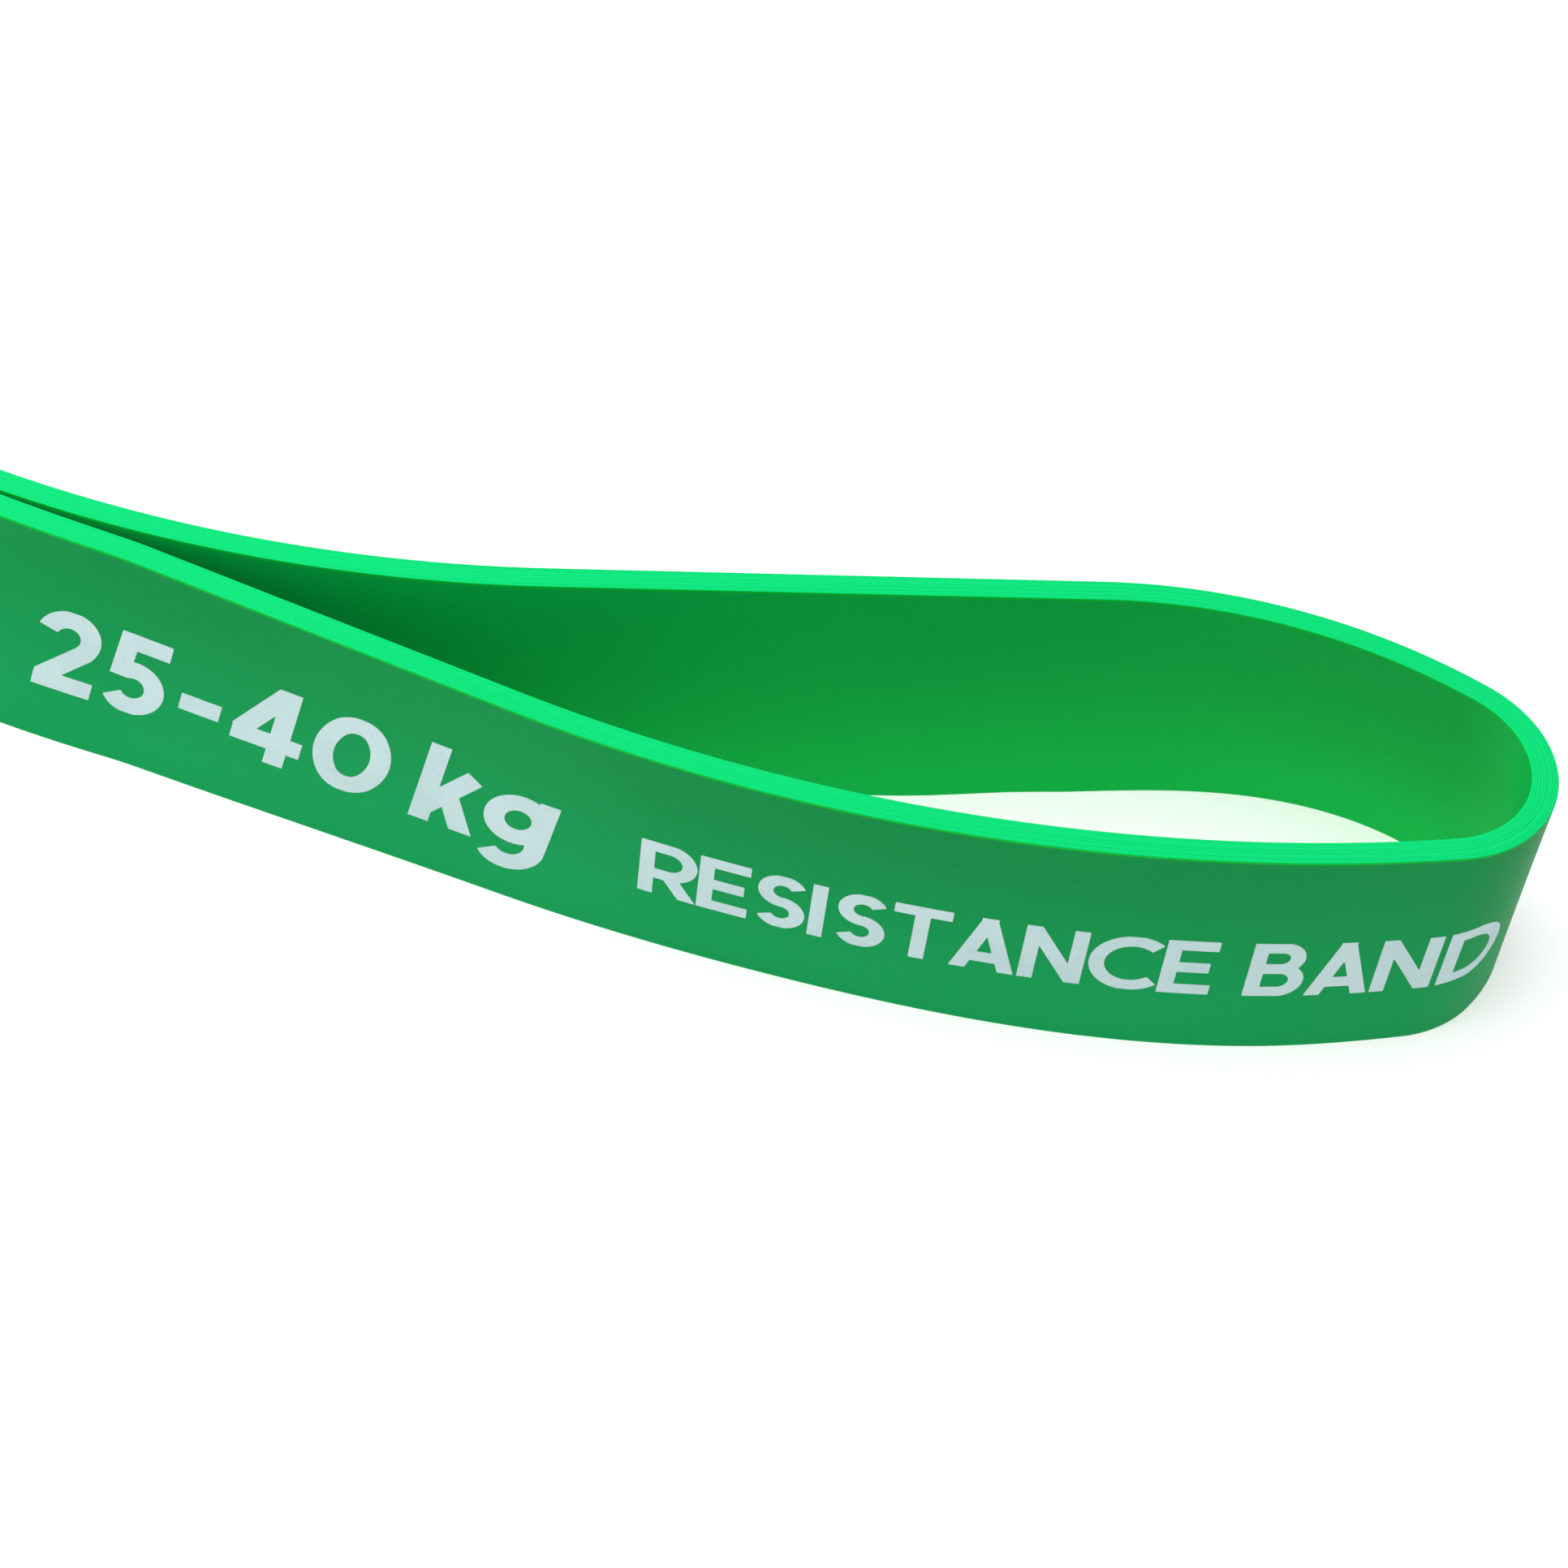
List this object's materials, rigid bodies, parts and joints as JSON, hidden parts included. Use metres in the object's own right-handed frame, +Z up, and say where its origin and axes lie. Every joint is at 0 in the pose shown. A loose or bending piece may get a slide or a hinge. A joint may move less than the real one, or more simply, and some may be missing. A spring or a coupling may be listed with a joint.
{
  "type": "resistance band",
  "caption": "Flat layered latex loop band standing on its edge, its two strands side by side and each end open as a loop for a hand, a foot or a bar.",
  "frame": {"origin": "middle of the band's footprint, on the surface that its lower edge stands on", "axes": "+X along the two side-by-side strands towards the pulled end loop, +Y across them, +Z up across the band's width"},
  "size_m": [0.9942, 0.1762, 0.045],
  "materials": {
    "face_latex": "satin, moulded green latex, slightly dusty",
    "core_latex": "matte cut green latex, brighter along the cut edges"
  },
  "bodies": {
    "anchored_half": {"ply_1_anchored": "face_latex", "ply_2_anchored": "core_latex", "ply_3_anchored": "core_latex", "ply_4_anchored": "core_latex", "ply_5_anchored": "core_latex", "ply_6_anchored": "core_latex", "ply_7_anchored": "core_latex", "ply_8_anchored": "core_latex", "ply_9_anchored": "face_latex"},
    "pulled_half": {"ply_1_pulled": "face_latex", "ply_2_pulled": "core_latex", "ply_3_pulled": "core_latex", "ply_4_pulled": "core_latex", "ply_5_pulled": "core_latex", "ply_6_pulled": "core_latex", "ply_7_pulled": "core_latex", "ply_8_pulled": "core_latex", "ply_9_pulled": "face_latex"}
  },
  "joints": [
    {"name": "stretch", "type": "slide", "parent": "anchored_half", "child": "pulled_half", "axis": [1, 0, 0], "range_m": [0, 1.3], "stiffness_N_per_m": 300}
  ]
}
